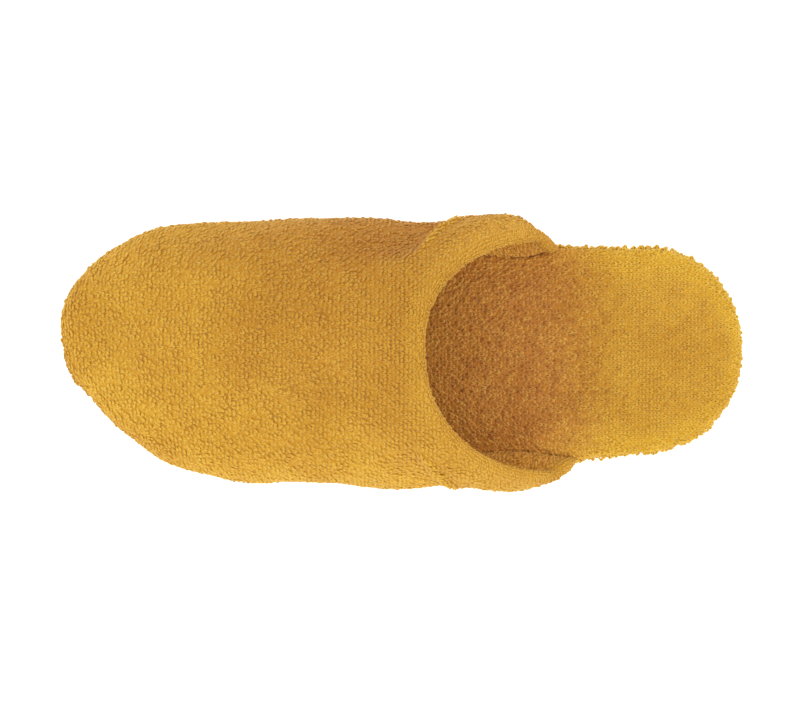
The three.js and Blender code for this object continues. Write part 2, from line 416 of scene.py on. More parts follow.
def seat_loops(cloth: Cloth, warp_pitch: float, weft_pitch: float) -> Seats:
    """Finds the places of a cloth that lie on a lattice of its flat cut.

    Args:
        cloth: The cloth, sewn to shape.
        warp_pitch: Lattice distance along the flat cut's first axis, in millimetres.
        weft_pitch: The same along its second axis.

    Returns:
        A seat for each lattice place that the cloth covers.
    """
    triangles = cloth.triangles
    lattice = cloth.flat / (warp_pitch, weft_pitch) + LATTICE_START
    corners = lattice[triangles]
    low = np.ceil(corners.min(axis=1)).astype(int)
    sizes = np.maximum(np.floor(corners.max(axis=1)).astype(int) - low + 1, 0)
    counts = sizes.prod(axis=1)
    owner = np.repeat(np.arange(len(triangles)), counts)
    number = np.arange(counts.sum()) - np.repeat(np.cumsum(counts) - counts, counts)
    wide = np.maximum(sizes[owner, 0], 1)
    point = low[owner] + np.column_stack([number % wide, number // wide])

    a, b, c = (corners[owner, i] for i in range(3))
    area = crossed(b - a, c - a)
    area = np.where(np.abs(area) < TINY, TINY, area)
    u = crossed(point - a, c - a) / area
    v = crossed(b - a, point - a) / area
    inside = (u >= 0) & (v >= 0) & (u + v < 1)
    owner, u, v = owner[inside], u[inside], v[inside]
    shares = np.column_stack([1 - u - v, u, v])[..., None]
    own = triangles[owner]

    edges = cloth.places[own[:, 1:]] - cloth.places[own[:, :1]]
    cuts = cloth.flat[own[:, 1:]] - cloth.flat[own[:, :1]]
    span = crossed(cuts[:, 0], cuts[:, 1])
    span = np.where(np.abs(span) < TINY, TINY, span)[:, None]
    warp = (edges[:, 0] * cuts[:, 1, 1:] - edges[:, 1] * cuts[:, 0, 1:]) / span
    normal = unit((cloth.normals()[own] * shares).sum(axis=1))
    warp = unit(warp - normal * (warp * normal).sum(axis=1, keepdims=True))
    marks = {name: (values[own] * shares[..., 0]).sum(axis=1) for name, values in cloth.marks.items()}
    flat = (cloth.flat[own] * shares).sum(axis=1)
    return Seats((cloth.places[own] * shares).sum(axis=1), warp, normal, flat, marks)


def mesh_object(
    name: str, places: Array, faces: Sequence[Array], flat: Array | None = None, tone: Array | None = None
) -> bpy.types.Object:
    """Makes a smooth-shaded mesh object.

    Args:
        name: The piece's name.
        places: Its vertices, in millimetres.
        faces: Arrays of corner numbers, each array with one count of corners.
        flat: A flat place for each vertex, which becomes the piece's map.
        tone: Light and shade painted into each vertex's colour, with some random yarn-to-yarn dye: 1 is
            painted light, -1 is painted shade.

    Returns:
        The new object, in metres.
    """
    mesh = bpy.data.meshes.new(name)
    corners = np.concatenate([block.ravel() for block in faces])
    sizes = np.concatenate([np.full(len(block), block.shape[1]) for block in faces])
    mesh.vertices.add(len(places))
    mesh.vertices.foreach_set("co", (places * MM).astype(np.float32).ravel())
    mesh.loops.add(len(corners))
    mesh.loops.foreach_set("vertex_index", corners.astype(np.int32))
    mesh.polygons.add(len(sizes))
    mesh.polygons.foreach_set("loop_start", (np.cumsum(sizes) - sizes).astype(np.int32))
    mesh.polygons.foreach_set("use_smooth", np.ones(len(sizes), bool))
    mesh.update(calc_edges=True)
    mesh.validate()
    if flat is not None:
        low, high = flat.min(axis=0), flat.max(axis=0)
        layer = mesh.uv_layers.new(name=BAKE_MAP)
        spread = (flat - low) / (high - low).max() * MAP_SPAN + MAP_MARGIN
        layer.data.foreach_set("uv", spread[corners].astype(np.float32).ravel())
    if tone is not None:
        mesh.attributes.new(TONE, "FLOAT", "POINT").data.foreach_set("value", tone.astype(np.float32))
    made = bpy.data.objects.new(name, mesh)
    bpy.context.scene.collection.objects.link(made)
    return made


@dataclass(frozen=True)
class Pile:
    """Yarn loops of one kind of terry, in millimetres and degrees.

    A loop's height and width are those of its yarn's middle line, before the loop falls to one side. Its yarn
    is a radius, thinner at the loop's feet. The row turn leads from the cloth's warp to the line of its feet.
    """

    height: float
    width: float
    yarn: float
    wander: float
    fall: float
    uneven: float = 0.25
    bury: float = 0.25
    skew: float = 0.25
    shift: float = 0.1
    mottle: float = 0.0
    row_turn: float = 90
    row_patch: float = 16
    patch_drift: float = 0.55
    own_drift: float = 0.6
    fall_range: Pair = (0.8, 1.12)
    width_follows: float = 0.5
    yarn_follows: float = 0.4
    foot_yarn: float = 0.85
    tip_more: float = 0.2
    rings: int = 6
    sides: int = 3
    first_turn: float = -48
    seed: int = 3

    def faces(self, count: int) -> list[Array]:
        """Corner numbers of the walls and the ends of a number of loops."""
        corner = np.arange(self.rings * self.sides).reshape(self.rings, self.sides)
        following = np.roll(corner, -1, axis=1)
        walls = np.stack([corner[:-1], following[:-1], following[1:], corner[1:]], axis=-1).reshape(-1, 4)
        ends = np.stack([corner[0, ::-1], corner[-1]])
        offset = (np.arange(count) * corner.size)[:, None, None]
        return [(walls + offset).reshape(-1, 4), (ends + offset).reshape(-1, self.sides)]

    def dress(self, name: str, seats: Seats) -> bpy.types.Object:
        """Stands one loop on each seat.

        Args:
            name: The new piece's name.
            seats: Where the loops stand. A mark named "tall" scales each loop's height, "calm" stills its
                straying, and "tone" is the light and shade painted into its colour.

        Returns:
            One object with all the loops.
        """
        chance = np.random.default_rng(self.seed)
        count = len(seats.places)
        tall = seats.marks.get("tall", np.ones(count))
        stray = 1 - seats.marks.get("calm", np.zeros(count))
        size = 1 + self.uneven * stray * chance.uniform(-1, 1, count)

        patches = ripple(seats.flat, self.row_patch, self.seed)
        drift = self.patch_drift * patches + self.own_drift * chance.normal(0, 1, count)
        yaw = np.radians(self.row_turn) + np.radians(self.wander) * stray * drift
        across = np.cross(seats.normal, seats.warp)
        warp = seats.warp * np.cos(yaw)[:, None] + across * np.sin(yaw)[:, None]
        across = np.cross(seats.normal, warp)
        fall = np.radians(self.fall) * chance.uniform(*self.fall_range, count)
        up = seats.normal * np.cos(fall)[:, None] + across * np.sin(fall)[:, None]
        side = across * np.cos(fall)[:, None] - seats.normal * np.sin(fall)[:, None]

        turn = np.radians(np.linspace(self.first_turn, 180 - self.first_turn, self.rings))
        around = np.arange(self.sides) * 2 * math.pi / self.sides
        lowest = math.sin(math.radians(self.first_turn))
        rise = (np.sin(turn) - lowest) / (1 - lowest)
        height = (self.height * size * tall)[:, None] * rise
        width = self.width * (1 + self.width_follows * (size - 1))
        skew = self.skew * chance.normal(0, 1, count)
        along = width[:, None] / 2 * np.cos(turn) + skew[:, None] * height
        shift = self.shift * stray[:, None] * chance.normal(0, 1, (count, 2))
        feet = seats.places - self.bury * seats.normal + shift[:, :1] * warp + shift[:, 1:] * across
        middle = feet[:, None]
        middle = middle + along[..., None] * warp[:, None] + height[..., None] * up[:, None]
        outward = np.cos(turn)[:, None] * warp[:, None] + np.sin(turn)[:, None] * up[:, None]
        ring = np.cos(around)[:, None] * outward[:, :, None] + np.sin(around)[:, None] * side[:, None, None]
        yarn = self.yarn * (1 + self.yarn_follows * (size - 1))
        thick = yarn[:, None] * (self.foot_yarn + self.tip_more * rise)
        places = middle[:, :, None] + ring * thick[..., None, None]

        local = np.stack([np.cos(yaw), np.sin(yaw)], axis=-1)[:, None] * along[..., None]
        flat = np.repeat(seats.flat[:, None] + local, self.sides, axis=1)
        # The tone carries painted light and shade; the mottle adds random yarn-to-yarn dye on top
        tone = seats.marks.get(TONE, np.zeros(count)) + self.mottle * stray * chance.normal(0, 1, count)
        tones = np.repeat(tone, self.rings * self.sides)
        return mesh_object(name, places.reshape(-1, 3), self.faces(count), flat.reshape(-1, 2), tones)


class Value:
    """A shader socket that takes part in Python expressions: each operator adds a Math node."""

    def __init__(self, shader: "Shader", socket: bpy.types.NodeSocket) -> None:
        """Keeps the socket and the shader that its Math nodes go into."""
        self.shader = shader
        self.socket = socket

    def _maths(self, operation: str, first: Any, second: Any) -> "Value":
        """Adds a Math node on two values or numbers."""
        return self.shader.node("ShaderNodeMath", "Value", {0: first, 1: second}, operation=operation)

    def __add__(self, other: Any) -> "Value":
        """Adds."""
        return self._maths("ADD", self, other)

    def __radd__(self, other: Any) -> "Value":
        """Adds, with the number first."""
        return self._maths("ADD", other, self)

    def __sub__(self, other: Any) -> "Value":
        """Takes away."""
        return self._maths("SUBTRACT", self, other)

    def __rsub__(self, other: Any) -> "Value":
        """Takes this from a number."""
        return self._maths("SUBTRACT", other, self)

    def __mul__(self, other: Any) -> "Value":
        """Multiplies."""
        return self._maths("MULTIPLY", self, other)

    def __rmul__(self, other: Any) -> "Value":
        """Multiplies, with the number first."""
        return self._maths("MULTIPLY", other, self)


class Shader:
    """The node tree of one material."""

    def __init__(self, name: str) -> None:
        """Starts a material with only its output node."""
        self.material = bpy.data.materials.new(name)
        self.material.use_nodes = True
        self.tree = self.material.node_tree
        self.tree.nodes.clear()
        self.output = self.tree.nodes.new("ShaderNodeOutputMaterial")

    def node(self, kind: str, output: str | int, sockets: dict[Any, Any], **settings: Any) -> Value:
        """Adds any node.

        Args:
            kind: Blender's name of the node's type.
            output: The name or number of the output that is wanted.
            sockets: Inputs by name or number, each a number, a colour or a value to link.
            settings: Properties that are set first. A ramp's stops are pairs of place and colour.

        Returns:
            The wanted output.
        """
        made = self.tree.nodes.new(kind)
        for name, setting in settings.items():
            if name == "stops":
                for stop, (place, colour) in zip(made.color_ramp.elements, setting):
                    stop.position, stop.color = place, (*colour, 1)
            else:
                setattr(made, name, setting)
        for name, value in sockets.items():
            if isinstance(value, Value):
                self.tree.links.new(value.socket, made.inputs[name])
            else:
                made.inputs[name].default_value = value
        return Value(self, made.outputs[output])

    def place(self) -> Value:
        """The place on the piece, in its own metres."""
        return self.node("ShaderNodeTexCoord", "Object", {})

    def noise(self, scale: float, detail: float = 2.0, roughness: float = 0.5) -> Value:
        """Noise over the piece, around 0.5."""
        sockets = {"Vector": self.place(), "Scale": scale, "Detail": detail, "Roughness": roughness}
        return self.node("ShaderNodeTexNoise", "Fac", sockets)

    def colours(self, factor: Value, first: Sequence[float], second: Sequence[float]) -> Value:
        """Runs between two colours as the factor goes over noise's usual range."""
        low, high = NOISE_RANGE
        stops = ((low, first), (high, second))
        return self.node("ShaderNodeValToRGB", "Color", {"Fac": factor}, stops=stops)

    def tinted(self, factor: Value, colour: Value, tint: Sequence[float]) -> Value:
        """Multiplies a colour by a tint as far as the factor goes from 0 to 1."""
        sockets = {MIX_FACTOR: factor, MIX_FIRST: colour, MIX_SECOND: (*tint, 1.0)}
        return self.node("ShaderNodeMix", MIX_RESULT, sockets, data_type="RGBA", blend_type="MULTIPLY")

    def surface(self, sockets: dict[str, Any]) -> bpy.types.Material:
        """Adds the surface shader, links it to the output and gives the finished material."""
        made = self.node("ShaderNodeBsdfPrincipled", "BSDF", sockets)
        self.tree.links.new(made.socket, self.output.inputs["Surface"])
        return self.material


def srgb(red: float, green: float, blue: float) -> Colour:
    """Turns screen colours from 0 to 255 into the renderer's own."""
    shares = (red / 255, green / 255, blue / 255)
    return tuple(c / 12.92 if c <= 0.04045 else ((c + 0.055) / 1.055) ** 2.4 for c in shares)


@dataclass(frozen=True)
class TerryFinish:
    """Cotton terry in one dye, and how its fibres break the light.

    Scales are in turns for a metre. Depths and the reach of the painted inner shade are in metres. Tints
    multiply the dye.
    """

    name: str
    deep: Colour
    bright: Colour
    dye_scale: float = 45
    dye_share: float = 0.45
    yarn_scale: float = 620
    yarn_share: float = 0.25
    shade_start: float = 0.15
    # Tints for painted light and painted shade, as far as each loop's tone goes; the tone also varies at
    # random from yarn to yarn
    painted_light: Colour = (1.1, 1.18, 1.02)
    painted_shade: Colour = (0.75, 0.58, 0.62)
    # Painted shade inside the slipper, where the vamp shades the footbed and lining, ramping in along x
    painted_inner_shade: Colour | None = None
    inner_shade_from: float = -0.048
    inner_shade_to: float = -0.086
    fibre_scale: float = 5200
    fibre_depth: float = 0.00025
    fibre_strength: float = 0.5
    knots_scale: float = 0
    knots_depth: float = 0.0006
    smoothest: float = 0.82
    rougher: float = 0.16
    gloss: float = 0.15
    sheen: float = 0.4
    sheen_roughness: float = 0.45
    sheen_tint: Paint = (1.0, 0.86, 0.55, 1.0)

    def colour(self, shader: Shader) -> Value:
        """Uneven dye from yarn to yarn, browner inside the slipper as painted shade, and painted light or
        shade by each loop's tone.
        """
        yarn = shader.noise(self.yarn_scale, detail=1.0)
        dye = shader.noise(self.dye_scale, detail=3.0)
        shade = self.yarn_share * yarn + self.dye_share * dye + self.shade_start
        colour = shader.colours(shade, self.deep, self.bright)
        # Painted shade: browner towards the toe, inside the slipper
        if self.painted_inner_shade:
            along = shader.node("ShaderNodeSeparateXYZ", "X", {"Vector": shader.place()})
            reach = {"Value": along, "From Min": self.inner_shade_to, "From Max": self.inner_shade_from}
            inside = shader.node("ShaderNodeMapRange", "Result", reach, interpolation_type="SMOOTHSTEP")
            colour = shader.tinted(inside, colour, self.painted_inner_shade)
        # Painted light, then painted shade, by the tone
        tone = shader.node("ShaderNodeAttribute", "Fac", {}, attribute_name=TONE)
        colour = shader.tinted(tone, colour, self.painted_light)
        return shader.tinted(0 - tone, colour, self.painted_shade)

    def relief(self, shader: Shader, fibre: Value) -> Value:
        """Fine fibres as a bump, over the knots of the weave where the finish has them."""
        fibres = {"Strength": self.fibre_strength, "Distance": self.fibre_depth, "Height": fibre}
        if self.knots_scale:
            cells = {"Vector": shader.place(), "Scale": self.knots_scale}
            knots = shader.node("ShaderNodeTexVoronoi", "Distance", cells)
            humps = {"Distance": self.knots_depth, "Height": knots}
            fibres["Normal"] = shader.node("ShaderNodeBump", "Normal", humps, invert=True)
        return shader.node("ShaderNodeBump", "Normal", fibres)

    def material(self) -> bpy.types.Material:
        """Builds the material."""
        shader = Shader(self.name)
        fibre = shader.noise(self.fibre_scale, roughness=0.7)
        return shader.surface({
            "Base Color": self.colour(shader),
            "Roughness": self.smoothest + self.rougher * fibre,
            "Normal": self.relief(shader, fibre),
            "Specular IOR Level": self.gloss,
            "Sheen Weight": self.sheen,
            "Sheen Roughness": self.sheen_roughness,
            "Sheen Tint": self.sheen_tint,
        })


@dataclass(frozen=True)
class WalkingSoleFinish:
    """Plain foamed rubber with a fine grain and scuffed high spots."""

    name: str = "walking_sole"
    body: Colour = srgb(122, 96, 62)
    scuffed: Colour = srgb(158, 130, 90)
    grain_scale: float = 1500
    grain_share: float = 0.25
    grain_depth: float = 0.0003
    grain_strength: float = 0.6
    scuff_scale: float = 60
    scuff_share: float = 0.75
    smoothest: float = 0.62
    rougher: float = 0.25
    gloss: float = 0.35

    def material(self) -> bpy.types.Material:
        """Builds the material: grain as bump, scuffs as colour and gloss."""
        shader = Shader(self.name)
        grain = shader.noise(self.grain_scale)
        scuff = shader.noise(self.scuff_scale, detail=5.0, roughness=0.65)
        shade = self.scuff_share * scuff + self.grain_share * grain
        relief = {"Strength": self.grain_strength, "Distance": self.grain_depth, "Height": grain}
        return shader.surface({
            "Base Color": shader.colours(shade, self.body, self.scuffed),
            "Roughness": self.smoothest + self.rougher * scuff,
            "Normal": shader.node("ShaderNodeBump", "Normal", relief),
            "Specular IOR Level": self.gloss,
        })


DYE = {"deep": srgb(222, 163, 54), "bright": srgb(242, 192, 71)}
# The ground is a little deeper and more orange than the loops: partly its own yarn, partly painted shade for
# the gaps between loops
GROUND_DYE_AND_GAP_SHADE = {"deep": srgb(210, 149, 46), "bright": srgb(230, 172, 58), "sheen": 0.2, "knots_scale": 1000}
# Painted shade for the footbed and lining under the vamp: browner and redder than the lit dye
PAINTED_FOOTBED_SHADE = (0.97, 0.85, 1.4)
PAINTED_LINING_SHADE = (1.12, 1.0, 1.4)
PILE_FINISH = TerryFinish("terry_pile", **DYE)
FOOTBED_FINISH = TerryFinish("terry_footbed", **DYE, painted_inner_shade=PAINTED_FOOTBED_SHADE)
LINING_FINISH = TerryFinish("terry_lining", **DYE, painted_inner_shade=PAINTED_LINING_SHADE)
GROUND_FINISH = TerryFinish("terry_ground", **GROUND_DYE_AND_GAP_SHADE)
FOOTBED_GROUND_FINISH = TerryFinish("terry_footbed_ground", **GROUND_DYE_AND_GAP_SHADE, painted_inner_shade=PAINTED_FOOTBED_SHADE)


def place_piece(piece: bpy.types.Object, material: bpy.types.Material) -> bpy.types.Object:
    """Gives a piece its finish and slot, lets it ride on the slipper and reports it."""
    piece.data.materials.append(material)
    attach(piece, "root")
    LOG.info("%s: %d faces", piece.name, len(piece.data.polygons))
    return piece


@dataclass(frozen=True)
class Crease:
    """A soft crease down one side behind the hem: a valley along a line, and a ridge on its collar side.

    Distances count arches from the collar, and levels count up an arch, from 0 at its foot to 2 at its top.
    Depths are in millimetres.
    """

    start: float
    slope: float
    level: float = 1.05
    low_end: Pair = (1.0, 1.22)
    high_end: Pair = (1.36, 1.6)
    valley_past: float = 0.1
    valley_front: float = 0.5
    valley_back: float = 0.13
    valley_depth: float = 2.6
    ridge_before: float = 0.14
    ridge_width: float = 0.1
    ridge_height: float = 1.7

    def depth(self, from_collar: Array, up: Array) -> Array:
        """How far the cloth sinks at places, by their distance and level."""
        past = from_collar - (self.start - self.slope * (up - self.level))
        ahead = past - self.valley_past
        valley = np.exp(-((ahead / np.where(ahead > 0, self.valley_front, self.valley_back)) ** 2))
        ridge = np.exp(-(((past + self.ridge_before) / self.ridge_width) ** 2))
        window = ramp(up, *self.low_end) * (1 - ramp(up, *self.high_end))
        return window * (self.valley_depth * valley - self.ridge_height * ridge)


@dataclass
class Upper:
    """The vamp: two layers of terry, turned at the collar, over the toes and instep.

    Sizes are in millimetres, and most ranges are distances from the collar's edge. A range of sides counts
    arches round the foot, for the toe from the toe's. A range of rise counts up an arch, from 0 at its foot
    through 1 at its widest point to 2 at its top. A tone of 1 is painted light, and -1 is painted shade.
    """

    form: SlipperForm
    ground: bpy.types.Material
    yarn: bpy.types.Material
    lining_yarn: bpy.types.Material
    slot: str = "terry_upper"
    # Steps of the ground cloths, and where they lie on their map
    steps_per_arch: int = 12
    steps_below: int = 6
    steps_above: int = 26
    hem_steps: int = 10
    lining_map: Pair = (400, 0)
    fold_map: Pair = (800, 0)
    # Soft forms of the cloth
    hem_round: float = 1.6
    hem_flat: Pair = (1.0, 6.0)
    hem_depth: float = 0.5
    wall_depth: float = 0.6
    swell_height: float = 0.45
    swell_length: float = 34
    swell_seed: int = 5
    swell_start: Pair = (4, 16)
    inner_crease: Crease = Crease(start=1.68, slope=0.6)
    outer_crease: Crease = Crease(start=1.84, slope=1.1)
    # Loops, and how they stand
    outside_pile: Pile = Pile(
        height=1.7, width=0.85, yarn=0.56, wander=40, fall=77, bury=0.32, shift=0.2, mottle=0.08
    )
    fold_pile: Pile = Pile(height=0.9, width=0.9, yarn=0.4, wander=30, fall=70, bury=0.3, seed=17)
    lining_pile: Pile = Pile(height=1.7, width=1.0, yarn=0.46, wander=30, fall=72, shift=0.12, seed=11)
    deep_pile: Pile = Pile(height=2.1, width=1.25, yarn=0.56, wander=30, fall=74, rings=5, seed=13)
    warp_pitch: float = 1.55
    weft_pitch: float = 1.42
    fold_pitch: float = 1.25
    deep_pitch: float = 1.85
    outside_parts: int = 4
    lining_reach: float = 44
    deep_foot: float = 0.3
    hem_height: float = 0.65
    side_height: float = 0.8
    top_rise: Pair = (1.1, 1.5)
    calm_reach: Pair = (8.0, 45.0)
    calm_far: float = 0.15
    calm_near: float = 0.65
    # Where light and shade are painted into the colour: painted light on the outer side, toe and crease
    # ridges, painted shade on the hem, its inner side, the instep, the inner flank and in crease valleys
    hem_band: Pair = (2.0, 9.0)
    hem_tone: float = -0.06
    inner_hem_tone: float = -0.22
    inner_hem_rise: Pair = (1.5, 1.95)
    outer_sides: Pair = (9.5, 12.0)
    outer_rise: Pair = (1.4, 1.95)
    outer_edge: Pair = (10.0, 45.0)
    outer_tone: float = 0.42
    instep_end: Pair = (50.0, 90.0)
    instep_tone: float = -0.42
    flank_sides: Pair = (6.0, 8.5)
    flank_rise: Pair = (1.4, 1.85)
    flank_start: Pair = (14.0, 34.0)
    flank_end: Pair = (80.0, 140.0)
    flank_tone: float = -0.45
    toe_sides: Pair = (0.5, 2.5)
    toe_rise: Pair = (1.45, 1.85)
    toe_tone: float = 0.35
    crease_tone: float = -0.6

    def widths(self) -> Array:
        """Steps up an arch, from its foot at 0 through its widest point at 1 to its top at 2."""
        below = np.linspace(0, 1, self.steps_below, endpoint=False)
        return np.concatenate([below, np.linspace(1, 2, self.steps_above + 1)])

    def stations(self) -> Array:
        """Steps round the foot."""
        return np.linspace(0, self.form.last_arch, self.form.last_arch * self.steps_per_arch + 1)

    def corner_numbers(self) -> Array:
        """The number of each place in the sheet, where both halves share the top line."""
        rows, columns = len(self.stations()), len(self.widths())
        numbers = np.arange(rows * columns).reshape(rows, columns)
        half = rows // 2
        numbers[half + 1 :, -1] = numbers[:half, -1][::-1]
        return numbers

    def creased(self, at: Array, up: Array) -> Array:
        """How far the creases on both sides let the cloth sink."""
        last = self.form.last_arch
        inner, outer = self.inner_crease.depth(at, up), self.outer_crease.depth(last - at, up)
        return np.where(at < last / 2, inner, outer)

    def sheet(self, face: Face) -> Cloth:
        """One face of the wall as cloth, with its distance from the collar and its creases marked.

        Args:
            face: The face of the wall.

        Returns:
            The cloth, facing out of the wall.
        """
        at, up = np.meshgrid(self.stations(), self.widths(), indexing="ij")
        places = self.form.upper_points(at, up, face)
        ahead, beside = headings(smooth(self.form.column("face"), at))
        from_top = places - places[:, -1:]
        along = (from_top[..., :2] * beside).sum(axis=-1)
        step = np.linalg.norm(np.diff(places, axis=1), axis=-1) ** 2 - np.diff(along, axis=1) ** 2
        girth = np.zeros_like(along)
        girth[:, :-1] = np.cumsum(np.sqrt(np.maximum(step, 0))[:, ::-1], axis=1)[:, ::-1]
        flat = places[:, -1:, :2] + ahead * girth[..., None] + beside * along[..., None]

        from_inner = walked(places)
        edge = np.minimum(from_inner, from_inner[-1] - from_inner)
        marks = {"edge": edge, "crease": self.creased(at, up), "side": at, "up": up}
        cloth = Cloth.woven(places, flat, marks, self.corner_numbers()).relaxed()
        if face is Face.LINING:
            return cloth
        swell = self.swell_height * ripple(cloth.flat, self.swell_length, self.swell_seed)
        swell *= ramp(cloth.marks["edge"], *self.swell_start)
        return cloth.turned().moved(swell - cloth.marks["crease"])

    def sunk(self, cloth: Cloth) -> Cloth:
        """The ground of one face, which lies deeper behind the hem, with the height of its loops marked."""
        behind = ramp(cloth.marks["edge"], *self.hem_flat)
        ground = cloth.moved(-blend(self.hem_depth, self.wall_depth, behind))
        ground.marks["tall"] = blend(self.hem_height, 1, behind)
        return ground

    def hem_tones(self, up: Array, inner: Array | bool) -> Array:
        """Painted shade on the hem: deeper on the inner side, below the top of the instep."""
        low = (1 - ramp(up, *self.inner_hem_rise)) * inner
        return blend(self.hem_tone, self.inner_hem_tone, low)

    def toned(self, cloth: Cloth) -> Array:
        """Light and shade painted on the outside: light on the outer side, toe and crease ridges, deep on the
        instep, inner flank and in crease valleys.
        """
        edge, up, side, crease = (cloth.marks[name] for name in ("edge", "up", "side", "crease"))
        behind = ramp(edge, *self.hem_band)
        outer = behind * ramp(side, *self.outer_sides) * (1 - ramp(up, *self.outer_rise))
        instep = (behind - outer) * (1 - ramp(edge, *self.instep_end))
        # Painted light: the outer side is lighter
        painted_light = outer * ramp(edge, *self.outer_edge)
        flank = ramp(edge, *self.flank_start) * (1 - ramp(edge, *self.flank_end))
        flank = flank * (1 - ramp(side, *self.flank_sides)) * (1 - ramp(up, *self.flank_rise))
        toe_arch = self.form.last_arch / 2
        # Painted light on the toe's steep front
        toe = (1 - ramp(np.abs(side - toe_arch), *self.toe_sides)) * (1 - ramp(up, *self.toe_rise))
        tone = self.hem_tones(up, side < toe_arch) * (1 - behind) + self.outer_tone * painted_light
        tone += self.instep_tone * instep + self.flank_tone * flank + self.toe_tone * toe
        # Painted shade in crease valleys, less on the outer side, and painted highlight on the ridges
        return tone + self.crease_tone * (np.minimum(crease, 0) + np.maximum(crease, 0) * (1 - outer))

    def folds(self, outside: Cloth, lining: Cloth) -> list[Cloth]:
        """The collar's round fold, in its inner and its outer half.

        Args:
            outside: The outer ground cloth.
            lining: The lining's ground cloth.

        Returns:
            Two cloths. The rows of each run from the outer face to the lining.
        """
        numbers = self.corner_numbers()
        turns = np.linspace(0, math.pi, self.hem_steps + 1)
        found = []
        for row, inward in ((0, 1), (-1, -2)):
            first, last = outside.places[numbers[row]], lining.places[numbers[row]]
            back = unit(first - outside.places[numbers[inward]])
            middle, half = (first + last) / 2, (first - last) / 2
            depth = np.linalg.norm(half, axis=1, keepdims=True) * self.hem_round
            places = np.stack([middle + half * math.cos(t) + back * depth * math.sin(t) for t in turns])
            flat = np.stack(np.broadcast_arrays((turns * depth.mean())[:, None], walked(middle)), axis=-1)
            tone = np.tile(self.hem_tones(self.widths(), row == 0), len(turns))
            fold = Cloth.woven(places, flat, {TONE: tone})
            found.append(fold.turned() if row else fold)
        return found

    def ground_cloth(self, outside: Cloth, lining: Cloth, folds: list[Cloth]) -> bpy.types.Object:
        """Sews both ground cloths together along the collar's fold and the foot.

        Args:
            outside: The outer ground cloth.
            lining: The lining's ground cloth.
            folds: The collar's fold.

        Returns:
            The closed wall under the loops.
        """
        numbers = self.corner_numbers()
        count, width = numbers.size, len(self.widths())
        between = slice(width, -width)
        fresh = 2 * count + np.arange((self.hem_steps - 1) * width).reshape(-1, width)
        inner = np.vstack([numbers[0], fresh, numbers[0] + count])
        outer = np.vstack([numbers[-1], fresh + fresh.size, numbers[-1] + count])
        strips = [squares_of(inner), squares_of(outer)[:, ::-1]]
        foot = squares_of(np.vstack([numbers[:, 0], numbers[:, 0] + count]))[:, ::-1]
        caps = [inner[:, 0][None], outer[::-1, 0][None]]
        faces = [outside.squares, lining.squares + count, *strips, foot, *caps]
        places = np.concatenate([outside.places, lining.places, *(fold.places[between] for fold in folds)])
        fold_flats = [fold.flat[between] + self.fold_map for fold in folds]
        flat = np.concatenate([outside.flat, lining.flat + self.lining_map, *fold_flats])
        fold_tones = [fold.marks[TONE][between] for fold in folds]
        tones = np.concatenate([outside.marks[TONE], np.zeros(count), *fold_tones])
        return mesh_object("upper_cloth", places, faces, flat, tones)

    def dress_outside(self, ground: Cloth) -> None:
        """Stands the outside's loops in parts round the foot, lower at the sides and calmer near the hem."""
        on_top = ramp(ground.marks["up"], *self.top_rise)
        near_hem = 1 - ramp(ground.marks["edge"], *self.calm_reach)
        ground.marks["tall"] = ground.marks["tall"] * blend(self.side_height, 1, on_top)
        ground.marks["calm"] = on_top * blend(self.calm_far, self.calm_near, near_hem)
        seats = seat_loops(ground, self.warp_pitch, self.weft_pitch)
        part = np.argsort(np.argsort(seats.marks["side"])) * self.outside_parts // len(seats.places)
        for number in range(self.outside_parts):
            piece = self.outside_pile.dress(f"upper_pile_{number + 1}", seats.chosen(part == number))
            place_piece(piece, self.yarn)

    def dress_lining(self, ground: Cloth) -> None:
        """Stands the lining's loops, fine near the collar and coarse inside the toe."""
        near = seat_loops(ground, self.warp_pitch, self.warp_pitch)
        near = near.chosen(near.marks["edge"] < self.lining_reach)
        place_piece(self.lining_pile.dress("lining_pile", near), self.lining_yarn)
        deep = seat_loops(ground, self.deep_pitch, self.deep_pitch)
        deep = deep.chosen((deep.marks["edge"] >= self.lining_reach) & (deep.marks["up"] > self.deep_foot))
        place_piece(self.deep_pile.dress("lining_pile_toe", deep), self.lining_yarn)

    def build(self) -> None:
        """Makes the ground cloth, which stands for the solid, and the pile on its fold and both faces."""
        outside, lining = (self.sunk(self.sheet(face)) for face in Face)
        outside.marks[TONE] = self.toned(outside)
        folds = self.folds(outside, lining)
        cloth = place_piece(self.ground_cloth(outside, lining, folds), self.ground)
        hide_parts("upper")
        for fold, name in zip(folds, ("inner", "outer")):
            seats = seat_loops(fold, self.fold_pitch, self.fold_pitch)
            place_piece(self.fold_pile.dress(f"collar_pile_{name}", seats), self.yarn)
        self.dress_outside(outside)
        self.dress_lining(lining)


